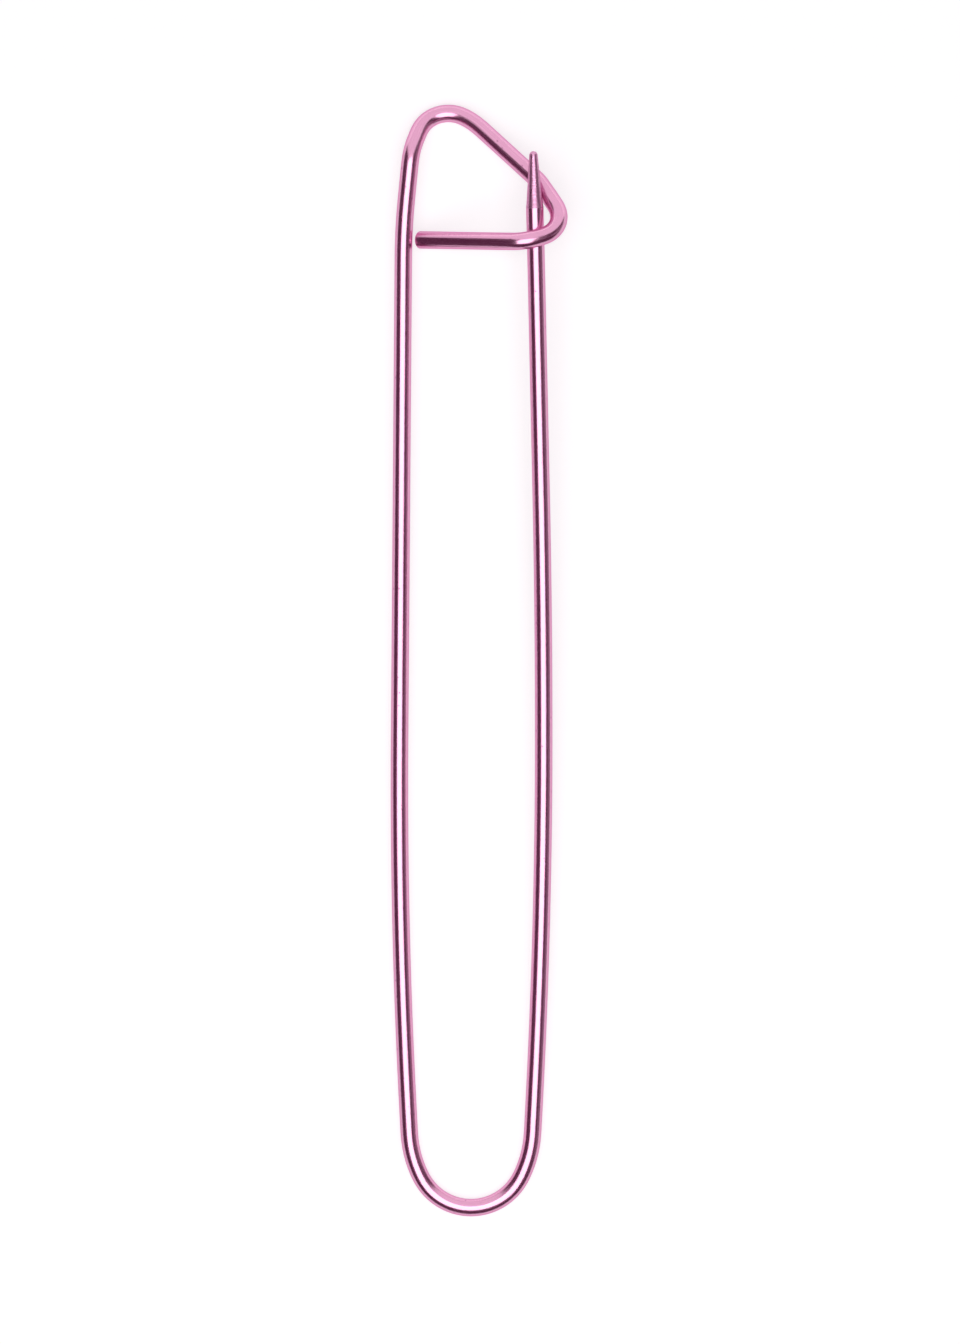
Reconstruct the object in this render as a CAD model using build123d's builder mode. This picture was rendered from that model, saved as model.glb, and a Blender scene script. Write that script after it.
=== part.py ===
from build123d import *
import os
from math import atan2, cos, degrees, radians, sin, sqrt, tan

os.makedirs("parts", exist_ok=True)

# A stitch holder: one length of aluminium wire bent into a long sprung loop.
# It lies flat, with the crown towards +Y, the needle on the +X side and the clasp rising in +Z.
# The wire runs from its blunt end through the clasp, over the crown, down the fixed leg,
# round the spring bend and up the needle to the ground point. Every bend turns the same way.
# Places are first given from the middle of the spring bend, on the wire's centre line, and the
# corners are the apexes where two straight runs would meet, as on a wire bender's drawing.
# Headings are degrees in plan from +X towards +Y, and slopes and tilts are degrees out of it.
# The plan is seen from above. Heights come last, from the needle's tilt and the wire's slopes.

# Wire, in millimetres
wire_diameter = 2.5
cut_edge_bevel = 0.35
point_length = 8.1
tip_diameter = 1.2

# Whole holder, outside to outside
holder_length = 158.75

# Loop between the two legs
loop_width = 20.76
widest_height = 41.5
needle_bow_height = 85
needle_heading = 91.25
needle_entry_depth = 21.35
needle_entry_heading = 91.45
fixed_leg_heading = 89.55
needle_tilt = 3.02

# Spring bend at the bottom
spring_bend_radius = 8
shoulder_swell = 0.66
shoulder_height = 7.8

# Crown, and the neck that joins it to the fixed leg
crown_bend_radius = 4.3
crown_heading = 152.7
crown_run = 1.7
crown_exit_heading = 68.3
crown_exit_slope = 28
neck_heading = 84.3
dip_run = 3.4
neck_run = 11

# Ramp behind the needle, measured down from the top of the crown
tip_depth = 5.6
ramp_toe_depth = 9.85
ramp_toe_offset = 0.71
ramp_slope = 18

# Clasp bend round the needle, and the bar in front of it
clasp_bend_depth = 14.88
clasp_bend_radius = 3.7
clasp_entry_heading = 14.5
clasp_entry_slope = 15.5
clasp_exit_heading = 128.7
clasp_exit_slope = 22.5
crest_lead = 1.95
crest_bend_radius = 3.15
bar_depth = 18.12
bar_slope = 30

# Running clearances
clasp_clearance = 0.2
clasp_side_gap = 0.6
bar_end_gap = 0.9

# Most that a gentle bend may take of the straight run before and after its apex
ramp_toe_shares = (0.1, 0.06)
ramp_top_share = 0.86
dip_share = 0.5
neck_shares = (0.37, 0.1)
fixed_bow_shares = (0.5, 0.76)
shoulder_share = 0.88
needle_foot_shares = (0.76, 0.58)
needle_bow_shares = (0.4, 0.35)
needle_entry_shares = (0.1, 0.06)

# Values worked out from the sizes above
wire_radius = wire_diameter / 2
tip_radius = tip_diameter / 2
half_width = loop_width / 2
crown_height = holder_length - wire_diameter


def along(heading):
    """Unit step in plan along a heading."""
    return Vector(cos(radians(heading)), sin(radians(heading)))


def in_plan(point):
    """The same point or step without its height."""
    return Vector(point.X, point.Y)


def rising(step, slope):
    """A step in plan that also goes up at a slope."""
    return step + Vector(0, 0, step.length * tan(radians(slope)))


def meet(point, step, other_point, other_step):
    """Where two straight runs cross in plan."""
    side = Vector(-other_step.Y, other_step.X)
    return point + step * ((other_point - point).dot(side) / step.dot(side))


def half_turn(run_in, run_out):
    """Half the turn between two straight runs."""
    return radians(run_in.get_angle(run_out) / 2)


def apex_from_centre(run_in, run_out, radius):
    """Step in plan from a bend's centre to its apex."""
    outward = run_in.normalized() - run_out.normalized()
    return in_plan(outward.normalized() * (radius / cos(half_turn(run_in, run_out))))


def bend_extent(run_in, run_out, radius, axis):
    """How far a bend's circle extends from its centre along an axis."""
    normal = run_in.cross(run_out).normalized()
    return radius * sqrt(1 - normal.dot(axis) ** 2)


def tilted(point, tilt):
    """A point of a leg whose plane is hinged at the spring bend and tilts up from there."""
    return in_plan(point) + Vector(0, 0, point.Y * tan(radians(tilt)))


def crossing_height(run, other_run, spacing):
    """Difference in height of two runs that cross in plan with this spacing between them."""
    normal = run.cross(other_run)
    return spacing * normal.length / abs(normal.Z)


def half_turn_tangent(before, apex, after):
    """Tangent of half the turn that the wire makes at an apex."""
    return tan(half_turn(apex - before, after - apex))


# Legs in plan
level = Vector(1, 0)
upward = Vector(0, 1)
left_wide = Vector(-half_width, widest_height)
right_wide = Vector(half_width, widest_height)
needle_bow = Vector(half_width, needle_bow_height)
needle_entry_height = crown_height - needle_entry_depth
needle_entry = meet(needle_bow, along(needle_heading), upward * needle_entry_height, level)
needle_step = along(needle_entry_heading)
fixed_step = along(fixed_leg_heading)


def needle_at(depth):
    """Point of the needle's end stretch at a depth below the top of the crown, in plan."""
    return meet(needle_entry, needle_step, Vector(0, crown_height - depth), level)


def fixed_leg_at(depth):
    """Point of the fixed leg's centre line at a depth below the top of the crown, in plan."""
    return meet(left_wide, fixed_step, Vector(0, crown_height - depth), level)


# Spring bend in plan: one arc whose two ends run straight on to the shoulders
shoulder_reach = spring_bend_radius + shoulder_swell
shoulder_rise = shoulder_height - spring_bend_radius
shoulder_run = sqrt(shoulder_reach**2 + shoulder_rise**2 - spring_bend_radius**2)
flank_heading = degrees(atan2(shoulder_rise, shoulder_reach) + atan2(spring_bend_radius, shoulder_run))
spring_centre = upward * spring_bend_radius
spring_apex = spring_centre + apex_from_centre(along(-flank_heading), along(flank_heading), spring_bend_radius)
left_shoulder = Vector(-shoulder_reach, shoulder_height)
right_shoulder = Vector(shoulder_reach, shoulder_height)

# Crown and neck in plan, set so that the crown's top is at the holder's full length
exit_step = along(crown_exit_heading)
neck_step = along(neck_heading)
crown_in = rising(along(crown_heading), -ramp_slope)
crown_out = rising(-exit_step, crown_exit_slope)
crown_top_rise = bend_extent(crown_in, crown_out, crown_bend_radius, upward)
crown_apex_rise = apex_from_centre(crown_in, crown_out, crown_bend_radius).Y
crown_reach = crown_bend_radius * tan(half_turn(crown_in, crown_out))
crown_apex_depth = crown_top_rise - crown_apex_rise
dip_distance = (crown_reach + dip_run) * cos(radians(crown_exit_slope))
neck = fixed_leg_at(crown_apex_depth + exit_step.Y * dip_distance + neck_step.Y * neck_run)
dip = neck + neck_step * neck_run
crown_apex = dip + exit_step * dip_distance
ramp_top_distance = (crown_reach + crown_run) * cos(radians(ramp_slope))
ramp_top = crown_apex - along(crown_heading) * ramp_top_distance

# Clasp in plan
tip = needle_at(tip_depth)
ramp_toe = needle_at(ramp_toe_depth) + level * ramp_toe_offset
entry_step = along(clasp_entry_heading)
clasp_in = rising(entry_step, -clasp_entry_slope)
clasp_out = rising(along(clasp_exit_heading), -clasp_exit_slope)
clasp_side_extent = bend_extent(clasp_in, clasp_out, clasp_bend_radius, level)
clasp_centre_offset = wire_diameter + clasp_side_gap - clasp_side_extent
clasp_centre = needle_at(clasp_bend_depth) + level * clasp_centre_offset
clasp_apex = clasp_centre + apex_from_centre(clasp_in, clasp_out, clasp_bend_radius)
bar_crossing = meet(clasp_apex, entry_step, needle_entry, needle_step)
crest = bar_crossing - entry_step * crest_lead
bar_end = fixed_leg_at(bar_depth) + level * (wire_radius + bar_end_gap)

# Heights: the needle lies over the ramp and under the bar, with a running clearance
ramp_step = ramp_top - ramp_toe
ramp_crossing = meet(ramp_toe, ramp_step, needle_entry, needle_step)
needle_run = tilted(needle_step, needle_tilt)
clasp_spacing = wire_diameter + clasp_clearance
ramp_drop = crossing_height(needle_run, rising(ramp_step, -ramp_slope), clasp_spacing)
bar_rise = crossing_height(needle_run, clasp_in, clasp_spacing)
over_ramp = tilted(ramp_crossing, needle_tilt)
under_bar = tilted(bar_crossing, needle_tilt)
ramp_crossing_point = over_ramp - Vector(0, 0, ramp_drop)
bar_crossing_point = under_bar + Vector(0, 0, bar_rise)
crest_point = bar_crossing_point + rising(crest - bar_crossing, clasp_entry_slope)
clasp_apex_point = bar_crossing_point + rising(clasp_apex - bar_crossing, -clasp_entry_slope)
ramp_toe_point = ramp_crossing_point + rising(ramp_toe - ramp_crossing, ramp_slope)
ramp_top_point = ramp_crossing_point + rising(ramp_top - ramp_crossing, -ramp_slope)
crown_apex_point = ramp_top_point + rising(crown_apex - ramp_top, -ramp_slope)
dip_point = crown_apex_point + rising(dip - crown_apex, crown_exit_slope)
fixed_leg_tilt = degrees(atan2(dip_point.Z, dip_point.Y))

# The wire's route, as apexes from the blunt end to the tip
drawn_route = [
    crest_point + rising(bar_end - crest, -bar_slope),
    crest_point,
    clasp_apex_point,
    ramp_toe_point,
    ramp_top_point,
    crown_apex_point,
    dip_point,
    tilted(neck, fixed_leg_tilt),
    tilted(left_wide, fixed_leg_tilt),
    tilted(left_shoulder, fixed_leg_tilt),
    tilted(spring_apex, (fixed_leg_tilt + needle_tilt) / 2),
    tilted(right_shoulder, needle_tilt),
    tilted(right_wide, needle_tilt),
    tilted(needle_bow, needle_tilt),
    tilted(needle_entry, needle_tilt),
    tilted(tip, needle_tilt),
]


def reaching_radius(index, reach):
    """Radius of the bend that takes this length of the runs on both sides of its apex."""
    return reach / half_turn_tangent(*drawn_route[index - 1 : index + 2])


def gentle_radius(index, shares):
    """Radius of a gentle bend that keeps to its shares of the runs on both sides of its apex."""
    before, apex, after = drawn_route[index - 1 : index + 2]
    reach = min((apex - before).length * shares[0], (after - apex).length * shares[1])
    return reaching_radius(index, reach)


radii = [
    crest_bend_radius,
    clasp_bend_radius,
    gentle_radius(3, ramp_toe_shares),
    reaching_radius(4, crown_run * ramp_top_share),
    crown_bend_radius,
    reaching_radius(6, dip_run * dip_share),
    gentle_radius(7, neck_shares),
    gentle_radius(8, fixed_bow_shares),
    reaching_radius(9, shoulder_run * shoulder_share),
    spring_bend_radius,
    reaching_radius(11, shoulder_run * shoulder_share),
    gentle_radius(12, needle_foot_shares),
    gentle_radius(13, needle_bow_shares),
    gentle_radius(14, needle_entry_shares),
]

# The part's origin is under the middle of the whole wire, at the surface it lies on
with BuildLine() as whole_route:
    FilletPolyline(*drawn_route, radius=radii)
extent = whole_route.line.bounding_box()
middle = extent.center()
origin = Vector(middle.X, middle.Y, extent.min.Z - wire_radius)
route = [corner - origin for corner in drawn_route]


def bend_reach(index):
    """Length of straight run that the bend at an apex takes on each side of it."""
    return radii[index - 1] * half_turn_tangent(*route[index - 1 : index + 2])


def section_after(index):
    """Where two stretches meet: the middle of what two neighbouring bends leave straight."""
    run = route[index + 1] - route[index]
    return route[index] + run.normalized() * ((bend_reach(index) + run.length - bend_reach(index + 1)) / 2)


bar_section = section_after(1)
clasp_section = section_after(2)
crown_section = section_after(4)
neck_section = section_after(6)
fixed_foot_section = section_after(8)
needle_foot_section = section_after(11)
point_direction = (route[15] - route[14]).normalized()
point_base = route[15] - point_direction * point_length

# Bar across the front of the needle, with its cut end bevelled
with BuildPart() as clasp_bar:
    with BuildLine() as bar_line:
        FilletPolyline(route[0], route[1], bar_section, radius=radii[:1])
    with BuildSketch(Plane(bar_line.line @ 0, z_dir=bar_line.line % 0)):
        Circle(wire_radius)
    sweep()
    cut_end = clasp_bar.faces().sort_by_distance(route[0])[0]
    chamfer(cut_end.edges(), length=cut_edge_bevel)
clasp_bar.part.label = "clasp_bar"

# Bend round the outside of the needle
with BuildPart() as clasp_bend:
    with BuildLine() as clasp_line:
        FilletPolyline(bar_section, route[2], clasp_section, radius=radii[1:2])
    with BuildSketch(Plane(clasp_line.line @ 0, z_dir=clasp_line.line % 0)):
        Circle(wire_radius)
    sweep()
clasp_bend.part.label = "clasp_bend"

# Ramp behind the needle
with BuildPart() as clasp_ramp:
    with BuildLine() as ramp_line:
        FilletPolyline(clasp_section, route[3], route[4], crown_section, radius=radii[2:4])
    with BuildSketch(Plane(ramp_line.line @ 0, z_dir=ramp_line.line % 0)):
        Circle(wire_radius)
    sweep()
clasp_ramp.part.label = "clasp_ramp"

# Crown, which dips below the legs
with BuildPart() as crown_bend:
    with BuildLine() as crown_line:
        FilletPolyline(crown_section, route[5], route[6], neck_section, radius=radii[4:6])
    with BuildSketch(Plane(crown_line.line @ 0, z_dir=crown_line.line % 0)):
        Circle(wire_radius)
    sweep()
crown_bend.part.label = "crown_bend"

# Fixed leg, bowed a little outwards
with BuildPart() as fixed_leg:
    with BuildLine() as fixed_line:
        FilletPolyline(neck_section, route[7], route[8], fixed_foot_section, radius=radii[6:8])
    with BuildSketch(Plane(fixed_line.line @ 0, z_dir=fixed_line.line % 0)):
        Circle(wire_radius)
    sweep()
fixed_leg.part.label = "fixed_leg"

# Spring bend, which flexes when the needle is squeezed
with BuildPart() as spring_bend:
    with BuildLine() as spring_line:
        FilletPolyline(fixed_foot_section, *route[9:12], needle_foot_section, radius=radii[8:11])
    with BuildSketch(Plane(spring_line.line @ 0, z_dir=spring_line.line % 0)):
        Circle(wire_radius)
    sweep()
spring_bend.part.label = "spring_bend"

# Needle leg: bowed below, straight where the stitches slide, and set a little where the bar presses it
with BuildPart() as needle_leg:
    with BuildLine() as needle_line:
        FilletPolyline(needle_foot_section, *route[12:15], point_base, radius=radii[11:14])
    with BuildSketch(Plane(needle_line.line @ 0, z_dir=needle_line.line % 0)):
        Circle(wire_radius)
    sweep()
needle_leg.part.label = "needle_leg"

# Ground point: a long taper that ends in a small round tip
taper_height = point_length - tip_radius
taper_angle = atan2(wire_radius - tip_radius, taper_height)
shoulder_radius = tip_radius * cos(taper_angle)
tip_shoulder_height = taper_height + tip_radius * sin(taper_angle)
point_side = point_direction.cross(Vector(0, 0, 1)).normalized()
point_plane = Plane(point_base, x_dir=point_side, z_dir=point_side.cross(point_direction))
with BuildPart() as needle_point:
    with BuildSketch(point_plane):
        with BuildLine():
            Polyline((0, point_length), (0, 0), (wire_radius, 0), (shoulder_radius, tip_shoulder_height))
            CenterArc((0, taper_height), tip_radius, degrees(taper_angle), 90 - degrees(taper_angle))
        make_face()
    revolve(axis=Axis(point_base, point_direction))
needle_point.part.label = "needle_point"

pieces = [
    clasp_bar,
    clasp_bend,
    clasp_ramp,
    crown_bend,
    fixed_leg,
    spring_bend,
    needle_leg,
    needle_point,
]
for piece in pieces:
    export_step(piece.part, f"parts/{piece.part.label}.step")

print("bend radii:", [round(radius, 2) for radius in radii])
print("lowest of crown and spring:", round(crown_line.line.bounding_box().min.Z - wire_radius, 3), end=" ")
print(round(spring_line.line.bounding_box().min.Z - wire_radius, 3))
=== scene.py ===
# %% [markdown]
# Stitch holder, dressed in Blender.
# The holder is one length of aluminium wire, drawn through a die, bent cold into a long loop, ground to a
# point at one end and then dyed pink by anodising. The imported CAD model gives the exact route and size.
# Here the wire gets the things that a CAD solid leaves out: bends that ease in and out, the fine lines of
# drawing, the satin of grinding, and the deep pink of a dyed oxide over bright metal.

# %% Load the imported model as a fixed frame
import math

import bpy
import numpy as np
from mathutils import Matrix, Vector


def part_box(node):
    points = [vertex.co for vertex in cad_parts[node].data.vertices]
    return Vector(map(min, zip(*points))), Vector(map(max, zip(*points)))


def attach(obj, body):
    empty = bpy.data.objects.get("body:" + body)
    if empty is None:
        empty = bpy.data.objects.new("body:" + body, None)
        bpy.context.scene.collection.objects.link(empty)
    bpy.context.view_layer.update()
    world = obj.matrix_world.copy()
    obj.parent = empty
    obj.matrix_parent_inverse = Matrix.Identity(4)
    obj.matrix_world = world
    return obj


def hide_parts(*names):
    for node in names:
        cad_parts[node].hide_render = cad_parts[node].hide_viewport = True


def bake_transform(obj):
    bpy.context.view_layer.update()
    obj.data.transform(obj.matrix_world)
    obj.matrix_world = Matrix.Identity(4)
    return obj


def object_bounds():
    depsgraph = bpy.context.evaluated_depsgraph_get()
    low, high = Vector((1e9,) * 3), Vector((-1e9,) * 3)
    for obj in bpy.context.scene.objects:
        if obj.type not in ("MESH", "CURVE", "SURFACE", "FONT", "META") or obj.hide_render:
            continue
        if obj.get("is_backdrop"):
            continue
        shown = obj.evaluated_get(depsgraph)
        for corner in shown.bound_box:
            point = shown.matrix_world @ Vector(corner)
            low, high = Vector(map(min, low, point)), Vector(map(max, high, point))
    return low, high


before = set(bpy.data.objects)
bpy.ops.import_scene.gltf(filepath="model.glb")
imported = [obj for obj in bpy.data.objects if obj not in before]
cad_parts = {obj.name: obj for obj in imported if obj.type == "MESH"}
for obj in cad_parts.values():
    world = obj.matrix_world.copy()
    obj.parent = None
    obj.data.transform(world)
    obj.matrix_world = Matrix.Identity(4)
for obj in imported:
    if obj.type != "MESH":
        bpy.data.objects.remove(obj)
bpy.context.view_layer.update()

# %% [markdown]
# Blender works in metres and the drawing of the wire is in millimetres, so every size below is written in
# millimetres and multiplied by MM once. Colours are written as sRGB hex, as they look on a screen, and
# Blender's shaders want linear light, so one function does that change for the whole file.

# %% Units and colour
MM = 0.001


def linear(hex_colour):
    """sRGB hex to linear light, with alpha 1."""
    parts = [int(hex_colour[i : i + 2], 16) / 255 for i in (1, 3, 5)]
    return [p / 12.92 if p <= 0.04045 else ((p + 0.055) / 1.055) ** 2.4 for p in parts] + [1.0]


print("mid pink in linear light:", [round(v, 3) for v in linear("#BE6E96")])

# %% [markdown]
# A wire bender reads a part as a list of corners with a radius at each one. This is that list, from the
# blunt end over the clasp and crown, down the fixed leg, round the spring bend and up the needle to its
# tip. A curve object with a bevel could follow it, but then the rings would twist in three dimensions and
# the ends of neighbouring pieces would not meet vertex to vertex, so the tube is made ring by ring.

# %% The wire's route, as corners and bend radii in millimetres
WIRE_RADIUS = 1.25 * MM
corners = [
    (-8.654, 60.004, 3.398),
    (6.137, 59.589, 11.941),
    (13.158, 61.405, 9.930),
    (8.528, 68.274, 6.342),
    (-0.803, 76.872, 2.220),
    (-6.818, 79.976, 0.021),
    (-9.697, 72.743, 4.160),
    (-10.790, 61.797, 3.952),
    (-11.563, -36.626, 2.078),
    (-9.843, -70.326, 1.437),
    (-1.183, -89.892, 0.866),
    (7.477, -70.326, 1.700),
    (9.197, -36.626, 3.478),
    (9.197, 6.874, 5.773),
    (8.109, 56.774, 8.406),
    (7.710, 72.524, 9.237),
]
bend_radii = [3.15, 3.7, 6.71, 11.41, 4.3, 5.76, 88.81, 871.64, 15.81, 8, 15.82, 992.06, 1599.49, 543.12]
corners = [np.array(corner) * MM for corner in corners]
bend_radii = [radius * MM for radius in bend_radii]
print("corners:", len(corners), "bends:", len(bend_radii))

# %% [markdown]
# Each corner becomes an arc that leaves and joins the straight runs at a tangent. The distance from the
# corner to where the arc starts is the radius times the tangent of half the turn.

# %% Runs, turns and how much of each run a bend takes
def run_direction(i):
    """Direction of the straight run after corner i."""
    step = corners[i + 1] - corners[i]
    return step / np.linalg.norm(step)


def turn_at(i):
    """Angle that the wire turns by at corner i."""
    return math.acos(np.clip(run_direction(i - 1) @ run_direction(i), -1, 1))


def bend_reach(i):
    """Length of the runs that the bend at corner i takes on each side."""
    if i in (0, len(corners) - 1):
        return 0
    return bend_radii[i - 1] * math.tan(turn_at(i) / 2)


print("turns in degrees:", [round(math.degrees(turn_at(i))) for i in range(1, len(corners) - 1)])

# %% Walk along the wire in steps of a tenth of a millimetre
STEP = 0.1 * MM


def walk():
    """Points along the whole centre line, run by run and bend by bend."""
    points = []
    for i in range(len(corners) - 1):
        ahead = run_direction(i)
        start = corners[i] + ahead * bend_reach(i)
        end = corners[i + 1] - ahead * bend_reach(i + 1)
        run = np.linalg.norm(end - start)
        count = max(1, round(run / STEP))
        points += [start + (end - start) * k / count for k in range(count)]
        if i + 2 < len(corners):
            radius, turn = bend_radii[i], turn_at(i + 1)
            inward = run_direction(i + 1) - ahead * (ahead @ run_direction(i + 1))
            inward = inward / np.linalg.norm(inward)
            count = max(1, round(radius * turn / STEP))
            for k in range(count):
                a = turn * k / count
                points.append(end + ahead * radius * math.sin(a) + inward * radius * (1 - math.cos(a)))
    points.append(corners[-1])
    return np.array(points)


centre_line = walk()
print("points:", len(centre_line))

# %% [markdown]
# Wire that is bent round a pin does not change from straight to round at one point: the curvature eases in
# over about half a wire's width. On a plain tube the eye reads that in the highlight, which would
# otherwise break at the end of each arc. Averaging each point with its neighbours gives the ease.

# %% Ease the bends
EASE = 0.6 * MM
EASE_SPAN = 3


def eased(points):
    """The same line with each point averaged over its neighbours, and its ends kept."""
    half = round(EASE_SPAN * EASE / STEP)
    weights = np.exp(-0.5 * (np.arange(-half, half + 1) * STEP / EASE) ** 2)
    weights /= weights.sum()
    before = 2 * points[0] - points[half:0:-1]
    after = 2 * points[-1] - points[-2 : -half - 2 : -1]
    padded = np.vstack([before, points, after])
    return np.column_stack([np.convolve(padded[:, axis], weights, "valid") for axis in range(3)])


smooth_line = eased(centre_line)
steps = np.linalg.norm(np.diff(smooth_line, axis=0), axis=1)
distance = np.concatenate([[0], np.cumsum(steps)])
print("wire length in mm:", round(distance[-1] * 1000, 1))
print("furthest the ease moves the line, in mm:", round(np.abs(smooth_line - centre_line).max() * 1000, 3))

# %% [markdown]
# A tube needs a pair of directions square to the wire at every ring. If each pair is worked out on its own,
# the rings spin where the wire turns. Carrying one pair along, and only taking out the part that points
# down the wire, keeps the rings from twisting.

# %% Directions across the wire, carried along it
ahead = np.gradient(smooth_line, distance, axis=0)
ahead /= np.linalg.norm(ahead, axis=1)[:, None]
across = np.zeros_like(ahead)
carried = np.array([0.0, 0.0, 1.0])
for k, direction in enumerate(ahead):
    carried = carried - direction * (direction @ carried)
    carried = carried / np.linalg.norm(carried)
    across[k] = carried
beside = np.cross(ahead, across)
print("largest slip from square:", round(float(np.abs((across * ahead).sum(1)).max()), 6))

# %% [markdown]
# The wire is made as eight pieces, cut where the CAD nodes meet, in the middle of the straight
# between two bends. Neighbours share the ring at the cut, so no seam shows.

# %% Where the pieces meet
POINT_LENGTH = 8.1 * MM
TIP_RADIUS = 0.6 * MM


def cut_after(i):
    """Distance along the wire to the middle of the straight after corner i."""
    run = np.linalg.norm(corners[i + 1] - corners[i]) - bend_reach(i) - bend_reach(i + 1)
    middle = corners[i] + run_direction(i) * (bend_reach(i) + run / 2)
    return distance[np.linalg.norm(smooth_line - middle, axis=1).argmin()]


cuts = [0] + [cut_after(i) for i in (1, 2, 4, 6, 8, 11)] + [distance[-1] - POINT_LENGTH, distance[-1]]
names = [
    "clasp_bar",
    "clasp_bend",
    "clasp_ramp",
    "crown_bend",
    "fixed_leg",
    "spring_bend",
    "needle_leg",
    "needle_point",
]
for name, start, end in zip(names, cuts, cuts[1:]):
    print(f"{name}: from {start * 1000:.1f} to {end * 1000:.1f} mm along the wire")

# %% [markdown]
# Rings stand close together where the wire bends and far apart where it is straight, as an artist would
# place loops by hand: every 3 degrees of turn, or every 2.5 mm.

# %% Choose the rings
RING_TURN = math.radians(3)
RING_GAP = 2.5 * MM
SIDES = 48


def stations(start, end):
    """Distances along the wire at which a stretch has its rings."""
    chosen, turned, last = [start], 0, start
    first, final = np.searchsorted(distance, [start, end])
    for k in range(first + 1, final):
        turned += math.acos(np.clip(ahead[k - 1] @ ahead[k], -1, 1))
        if turned > RING_TURN or distance[k] - last > RING_GAP:
            if end - distance[k] > STEP:
                chosen.append(distance[k])
            turned, last = 0, distance[k]
    return chosen + [end]


def at(values, s):
    """A value that was worked out along the wire, read at a distance."""
    return np.array([np.interp(s, distance, values[:, axis]) for axis in range(3)])


print("rings round the spring bend:", len(stations(cuts[5], cuts[6])))

# %% [markdown]
# A ring is placed by its distance along the wire and its radius, so a rounded cut end and a ground point
# are the same thing as the plain wire with other radii. Each vertex also keeps its place on the wire as it
# was before bending: how far along, and where on the round section. The drawing lines and grinding marks
# are painted in that straightened space, so they follow the wire round every bend with no seam.

# %% Make a tube from rings
def tube(name, rings):
    """A closed mesh through rings given as (distance along the wire, radius)."""
    angles = np.arange(SIDES) * 2 * math.pi / SIDES
    points, unbent = [], []
    for s, radius in rings:
        centre, up, side = at(smooth_line, s), at(across, s), at(beside, s)
        for a in angles:
            points.append(centre + radius * (up * math.cos(a) + side * math.sin(a)))
            unbent.append((s, radius * math.cos(a), radius * math.sin(a)))
    faces = []
    for r in range(len(rings) - 1):
        for a in range(SIDES):
            b = (a + 1) % SIDES
            faces.append((r * SIDES + a, r * SIDES + b, (r + 1) * SIDES + b, (r + 1) * SIDES + a))
    last = (len(rings) - 1) * SIDES
    faces.append(tuple(range(SIDES))[::-1])
    faces.append(tuple(range(last, last + SIDES)))
    mesh = bpy.data.meshes.new(name)
    mesh.from_pydata(points, [], faces)
    mesh.shade_smooth()
    attribute = mesh.attributes.new("unbent", "FLOAT_VECTOR", "POINT")
    attribute.data.foreach_set("vector", np.array(unbent, np.float32).ravel())
    sharp = mesh.attributes.new("sharp_edge", "BOOLEAN", "EDGE")
    rims = {tuple(sorted((r + a, r + (a + 1) % SIDES))) for r in (0, last) for a in range(SIDES)}
    marks = [tuple(sorted(edge.vertices)) in rims for edge in mesh.edges]
    sharp.data.foreach_set("value", marks)
    piece = bpy.data.objects.new(name, mesh)
    bpy.context.collection.objects.link(piece)
    return piece


print("sides of the tube:", SIDES, "- widest flat in mm:", round(WIRE_RADIUS * 2 * math.pi / SIDES * 1000, 3))

# %% [markdown]
# The blunt end was sheared from the coil and tumbled, which rounds its edge. The other end is a taper
# ground on a wheel, a hair thinner than the wire where the grinding starts, with a small ball for a tip so
# that it parts the yarn and doesn't split it.

# %% Rings of the cut end
CUT_ROUND = 0.3 * MM
FACE_SHARES = (0.02, 0.5, 0.9)
quarter = [math.radians(a) for a in range(0, 91, 10)]
cut_rings = [
    (CUT_ROUND * (1 - math.sin(a)), WIRE_RADIUS - CUT_ROUND * (1 - math.cos(a))) for a in reversed(quarter)
]
cut_face = [(0, (WIRE_RADIUS - CUT_ROUND) * share) for share in FACE_SHARES]
print("rings of the cut end:", len(cut_face) + len(cut_rings))

# %% Rings of the ground point
GROUND_STEP = 0.03 * MM
STEP_LENGTH = 0.35 * MM
TAPER_RINGS = np.linspace(0.07, 1, 26)
LAST_BALL_RING = math.radians(88)
BALL_RINGS = 8
taper_start = cuts[7]
ball_centre = distance[-1] - TIP_RADIUS
slope = math.atan2(WIRE_RADIUS - GROUND_STEP - TIP_RADIUS, ball_centre - taper_start)
point_rings = [(taper_start, WIRE_RADIUS), (taper_start + STEP_LENGTH, WIRE_RADIUS - GROUND_STEP)]
for share in TAPER_RINGS:
    s = taper_start + share * (ball_centre + TIP_RADIUS * math.sin(slope) - taper_start)
    radius = WIRE_RADIUS - GROUND_STEP + share * (TIP_RADIUS * math.cos(slope) - WIRE_RADIUS + GROUND_STEP)
    point_rings.append((s, radius))
for a in np.linspace(slope, LAST_BALL_RING, BALL_RINGS + 1)[1:]:
    point_rings.append((ball_centre + TIP_RADIUS * math.sin(a), TIP_RADIUS * math.cos(a)))
print("ground taper in degrees:", round(math.degrees(slope), 2))

# %% Build the eight pieces
pieces = {}
for name, start, end in zip(names, cuts, cuts[1:]):
    rings = [(s, WIRE_RADIUS) for s in stations(start, end)]
    if name == "clasp_bar":
        rings = cut_face + cut_rings + [ring for ring in rings if ring[0] > CUT_ROUND]
    if name == "needle_point":
        rings = point_rings
    pieces[name] = tube("wire_" + name, rings)
print("vertices:", sum(len(piece.data.vertices) for piece in pieces.values()))

# %% [markdown]
# A material is a small network of nodes. One helper adds a node, sets it up and links it, so that each
# material below reads as a list of what the surface is made of.

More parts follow.
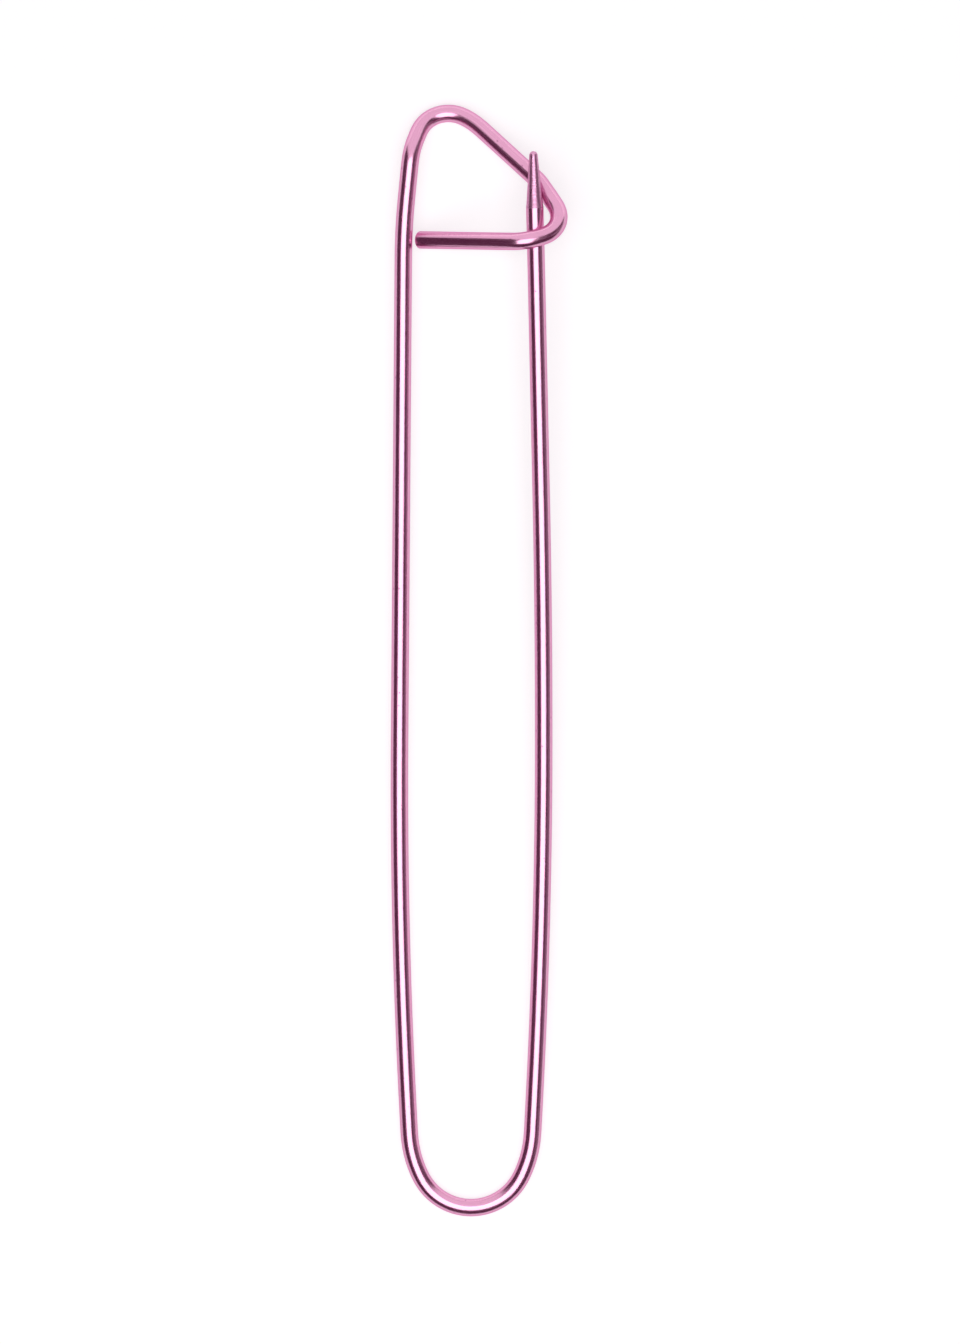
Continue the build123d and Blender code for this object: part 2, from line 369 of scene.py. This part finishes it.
# %% Helper for nodes
def add(tree, kind, links=(), **settings):
    """A node with its settings and its inputs, which are values or other nodes' outputs."""
    node = tree.nodes.new(kind)
    for key, value in settings.items():
        setattr(node, key, value)
    for socket, value in dict(links).items():
        if isinstance(value, bpy.types.NodeSocket):
            tree.links.new(value, node.inputs[socket])
        else:
            node.inputs[socket].default_value = value
    return node


print("helper ready:", add.__name__)

# %% [markdown]
# Anodised aluminium: the metal is given a hard clear oxide a hundredth of a millimetre thick, which takes
# a dye in its pores. The eye sees bright metal through coloured glass, so the reflections themselves are
# pink. In Blender that is a metal whose base colour is the dye's pink. Light that grazes the wire goes
# through more of the dye, so a deeper pink tints the shader's grazing reflections. Drawing through a die
# leaves faint lines along the wire. They are far finer than a pixel, so they are drawn coarser here.

# %% Pink anodised drawn wire: the lines of drawing, with sizes in millimetres
DRAWN_LINE = 0.07
DRAWN_LENGTH = 14
DYE_EDGE = "#E4ACD0"
to_millimetres = (1000, 1000, 1000)
wire_finish = bpy.data.materials.new("anodised_aluminium_drawn_pink")
wire_finish.use_nodes = True
tree = wire_finish.node_tree
tree.nodes.clear()
place = add(tree, "ShaderNodeAttribute", attribute_name="unbent")
millimetres = add(
    tree, "ShaderNodeVectorMath", {0: place.outputs["Vector"], 1: to_millimetres}, operation="MULTIPLY"
)
line_space = add(
    tree,
    "ShaderNodeVectorMath",
    {0: millimetres.outputs[0], 1: (1 / DRAWN_LENGTH, 1 / DRAWN_LINE, 1 / DRAWN_LINE)},
    operation="MULTIPLY",
)
lines = add(
    tree,
    "ShaderNodeTexNoise",
    {"Vector": line_space.outputs[0], "Scale": 1.0, "Detail": 3.0, "Roughness": 0.6},
)
print("drawing lines are", DRAWN_LINE, "mm apart and", DRAWN_LENGTH, "mm long")

# %% [markdown]
# The dye takes a little unevenly, in patches a couple of millimetres wide, and here and there a pit in the
# oxide holds more of it and shows as a darker dot.

# %% Dye and pits
DYE_PATCH = 2.2
PIT_SPACING = 1.6
PIT_DEEP = 0.03
PIT_RIM = 0.09
patches = add(
    tree,
    "ShaderNodeTexNoise",
    {"Vector": millimetres.outputs[0], "Scale": 1 / DYE_PATCH, "Detail": 4.0, "Roughness": 0.6},
)
dye = add(
    tree,
    "ShaderNodeMix",
    {"Factor": patches.outputs["Fac"], "A": linear("#E0A5C5"), "B": linear("#EAB0CF")},
    data_type="RGBA",
)
cells = add(tree, "ShaderNodeTexVoronoi", {"Vector": millimetres.outputs[0], "Scale": 1 / PIT_SPACING})
pits = add(
    tree,
    "ShaderNodeMapRange",
    {
        "Value": cells.outputs["Distance"],
        "From Min": PIT_DEEP,
        "From Max": PIT_RIM,
        "To Min": 1.0,
        "To Max": 0.0,
    },
)
pitted = add(
    tree,
    "ShaderNodeMix",
    {"Factor": pits.outputs["Result"], "A": dye.outputs["Result"], "B": linear("#A55B89")},
    data_type="RGBA",
)
print("dye patches in mm:", DYE_PATCH, "- pits about", PIT_SPACING, "mm apart")

# %% [markdown]
# The polish of the wire differs from line to line, so the same noise that draws the lines also sets how
# rough the metal is, and lifts it by a few thousandths of a millimetre.

# %% Surface of the wire
SMOOTHEST = 0.18
ROUGHEST = 0.29
LINE_DEPTH = 0.002 * MM
polish = add(
    tree,
    "ShaderNodeMapRange",
    {
        "Value": lines.outputs["Fac"],
        "From Min": 0.3,
        "From Max": 0.7,
        "To Min": SMOOTHEST,
        "To Max": ROUGHEST,
    },
)
relief = add(
    tree, "ShaderNodeBump", {"Height": lines.outputs["Fac"], "Strength": 0.45, "Distance": LINE_DEPTH}
)
metal = add(
    tree,
    "ShaderNodeBsdfPrincipled",
    {
        "Base Color": pitted.outputs["Result"],
        "Metallic": 1.0,
        "Specular Tint": linear(DYE_EDGE),
        "Roughness": polish.outputs["Result"],
        "Normal": relief.outputs["Normal"],
    },
)
add(tree, "ShaderNodeOutputMaterial", {"Surface": metal.outputs["BSDF"]})
print("nodes in the wire's material:", len(tree.nodes))

# %% [markdown]
# The point is ground after drawing, so it has short marks round it instead of long ones along it, and the
# dye lies over a satin surface. That scatters the highlight into a row of small glints. A fine wheel leaves
# marks finer than a pixel, so here they are drawn as coarse as they need to be to show.

# %% Pink anodised ground point: the marks of grinding, with sizes in millimetres
GRIND_MARK = 0.24
GRIND_STRETCH = 2.5
point_finish = bpy.data.materials.new("anodised_aluminium_ground_pink")
point_finish.use_nodes = True
tree = point_finish.node_tree
tree.nodes.clear()
place = add(tree, "ShaderNodeAttribute", attribute_name="unbent")
grind_space = add(
    tree,
    "ShaderNodeVectorMath",
    {
        0: place.outputs["Vector"],
        1: (1000 / GRIND_MARK, 1000 / GRIND_STRETCH / GRIND_MARK, 1000 / GRIND_STRETCH / GRIND_MARK),
    },
    operation="MULTIPLY",
)
marks = add(
    tree,
    "ShaderNodeTexNoise",
    {"Vector": grind_space.outputs[0], "Scale": 1.0, "Detail": 2.0, "Roughness": 0.55},
)
print("grinding marks in mm:", GRIND_MARK, "along the wire and", GRIND_MARK * GRIND_STRETCH, "round it")

# %% Surface of the ground point
GRIND_DEPTH = 0.045 * MM
dye = add(
    tree,
    "ShaderNodeMix",
    {"Factor": marks.outputs["Fac"], "A": linear("#B4789E"), "B": linear("#F2BCD9")},
    data_type="RGBA",
)
polish = add(
    tree,
    "ShaderNodeMapRange",
    {"Value": marks.outputs["Fac"], "From Min": 0.3, "From Max": 0.7, "To Min": 0.38, "To Max": 0.26},
)
relief = add(
    tree, "ShaderNodeBump", {"Height": marks.outputs["Fac"], "Strength": 0.9, "Distance": GRIND_DEPTH}
)
metal = add(
    tree,
    "ShaderNodeBsdfPrincipled",
    {
        "Base Color": dye.outputs["Result"],
        "Metallic": 1.0,
        "Specular Tint": linear(DYE_EDGE),
        "Roughness": polish.outputs["Result"],
        "Normal": relief.outputs["Normal"],
    },
)
add(tree, "ShaderNodeOutputMaterial", {"Surface": metal.outputs["BSDF"]})
print("nodes in the point's material:", len(tree.nodes))

# %% [markdown]
# Each piece takes the place of its CAD node, which is hidden, and is parented to the body that carries it,
# the frame or the needle. On the real wire the spring bend is the one stretch that changes shape when the
# needle is squeezed; here it is attached to neither body, and its placement is baked into its mesh.

# %% Put the pieces on their bodies
for name, piece in pieces.items():
    on_point = name == "needle_point"
    piece.data.materials.append(point_finish if on_point else wire_finish)
    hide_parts(name)
    if name == "spring_bend":
        low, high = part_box("spring_bend")
        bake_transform(piece)
    else:
        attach(piece, "needle" if name.startswith("needle") else "frame")
print("pieces:", [piece.name for piece in pieces.values()])

# %% [markdown]
# The holder lies on a plain sheet of smooth white paper. The soft box and the room light the paper, which
# gives it the holder's soft shadow. A glow brings it up to clean white for the camera, in reflections and
# through glass. Scattered light doesn't see the glow, so the white needs no extra lamp.

# %% White paper under the holder
PAPER_SIZE = 6
PAPER_LIFT = 0.68
paper_mesh = bpy.data.meshes.new("paper")
half = PAPER_SIZE / 2
paper_corners = [(-half, -half, 0), (half, -half, 0), (half, half, 0), (-half, half, 0)]
paper_mesh.from_pydata(paper_corners, [], [(0, 1, 2, 3)])
paper = bpy.data.objects.new("paper", paper_mesh)
bpy.context.collection.objects.link(paper)
paper_finish = bpy.data.materials.new("smooth_white_paper")
paper_finish.use_nodes = True
tree = paper_finish.node_tree
tree.nodes.clear()
rays = add(tree, "ShaderNodeLightPath")
direct = rays.outputs["Is Camera Ray"]
in_metal = rays.outputs["Is Glossy Ray"]
in_glass = rays.outputs["Is Transmission Ray"]
direct_or_metal = add(tree, "ShaderNodeMath", {0: direct, 1: in_metal}, operation="MAXIMUM")
seen = add(tree, "ShaderNodeMath", {0: direct_or_metal.outputs[0], 1: in_glass}, operation="MAXIMUM")
lift = add(tree, "ShaderNodeMath", {0: seen.outputs[0], 1: PAPER_LIFT}, operation="MULTIPLY")
sheet = add(
    tree,
    "ShaderNodeBsdfPrincipled",
    {"Base Color": linear("#B8B8B8"), "Roughness": 0.35, "IOR": 1.5, "Specular IOR Level": 0.5},
)
glow = add(tree, "ShaderNodeEmission", {"Color": linear("#FFFFFF"), "Strength": lift.outputs[0]})
lit = add(tree, "ShaderNodeAddShader", {0: sheet.outputs[0], 1: glow.outputs[0]})
add(tree, "ShaderNodeOutputMaterial", {"Surface": lit.outputs[0]})
paper_mesh.materials.append(paper_finish)
paper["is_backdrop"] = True
print("paper:", PAPER_SIZE, "m across")

# %% [markdown]
# Polished metal shows its surroundings, so lighting it means placing bright and dark shapes to be
# reflected. A soft box overhead gives the white line down the middle of each leg. A tall white card that
# stands beyond the crown gives the pale pink side of every stretch that lies across. A dim card on the
# needle's side keeps that side a little lighter. The rest of the room is dark with a plum tint, and that is
# what draws the deep plum lines. The cards show in reflections only, so no edge of their light falls on the
# paper.

# %% Soft box, card and dim room
def soft_light(name, width, height, brightness, place, aim, lights_paper=True):
    """A rectangular light whose face has a brightness where 1 is white."""
    lamp = bpy.data.lights.new(name, "AREA")
    lamp.shape = "RECTANGLE"
    lamp.size, lamp.size_y = width, height
    lamp.energy = brightness * math.pi * width * height
    holder = bpy.data.objects.new(name, lamp)
    holder.location = place
    holder.rotation_mode = "QUATERNION"
    holder.rotation_quaternion = (Vector(aim) - Vector(place)).to_track_quat("-Z", "Y")
    holder.visible_camera = False
    holder.visible_diffuse = lights_paper
    bpy.context.collection.objects.link(holder)
    return holder


ABOVE = (-0.05, -0.54, 1.8)
ON_PAPER = (-0.05, -0.54, 0)
BEYOND_CROWN = (0.03, 0.195, 0.875)
FACING_LEGS = (0.03, -0.805, 0.79)
NEEDLE_SIDE = (1.6, 0, 0.55)
soft_light("soft_box", 2.0, 1.72, 2.3, ABOVE, ON_PAPER)
soft_light("white_card", 0.66, 1.76, 0.9, BEYOND_CROWN, FACING_LEGS, lights_paper=False)
soft_light("fill_card", 1.2, 0.7, 0.18, NEEDLE_SIDE, (0, 0, 0), lights_paper=False)
room = bpy.data.worlds.new("dim_room")
room.use_nodes = True
backdrop = room.node_tree.nodes["Background"]
backdrop.inputs["Color"].default_value = linear("#573049")
backdrop.inputs["Strength"].default_value = 1
bpy.context.scene.world = room

# %% [markdown]
# The photograph looks straight down on the holder. A long lens from three metres keeps the high clasp
# and the low crown at nearly the same scale, which is exact at 4 mm above the paper.

# %% Camera
LENS = 600
SENSOR = 36
PIXEL = 0.14263 * MM
IMAGE_SIZE = (960, 1344)
HOLDER_MIDDLE = (479.2, 660.5)
SCALE_HEIGHT = 4 * MM
VIEW_HEIGHT = IMAGE_SIZE[1] * PIXEL
camera_data = bpy.data.cameras.new("camera")
camera_data.lens = LENS
camera_data.sensor_width = SENSOR
camera = bpy.data.objects.new("camera", camera_data)
camera_height = VIEW_HEIGHT * LENS / SENSOR + SCALE_HEIGHT
across_image = (IMAGE_SIZE[0] / 2 - HOLDER_MIDDLE[0]) * PIXEL
up_image = (HOLDER_MIDDLE[1] - IMAGE_SIZE[1] / 2) * PIXEL
camera.location = (across_image, up_image, camera_height)
bpy.context.collection.objects.link(camera)
bpy.context.scene.camera = camera
bpy.context.scene.view_settings.view_transform = "Standard"
print("camera height in metres:", round(camera_height, 3))

# %% The box round everything shown, in millimetres
shown_box = [list(corner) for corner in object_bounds()]
shown_mm = [[round(value * 1000, 2) for value in corner] for corner in shown_box]
print("shown box in mm:", shown_mm)
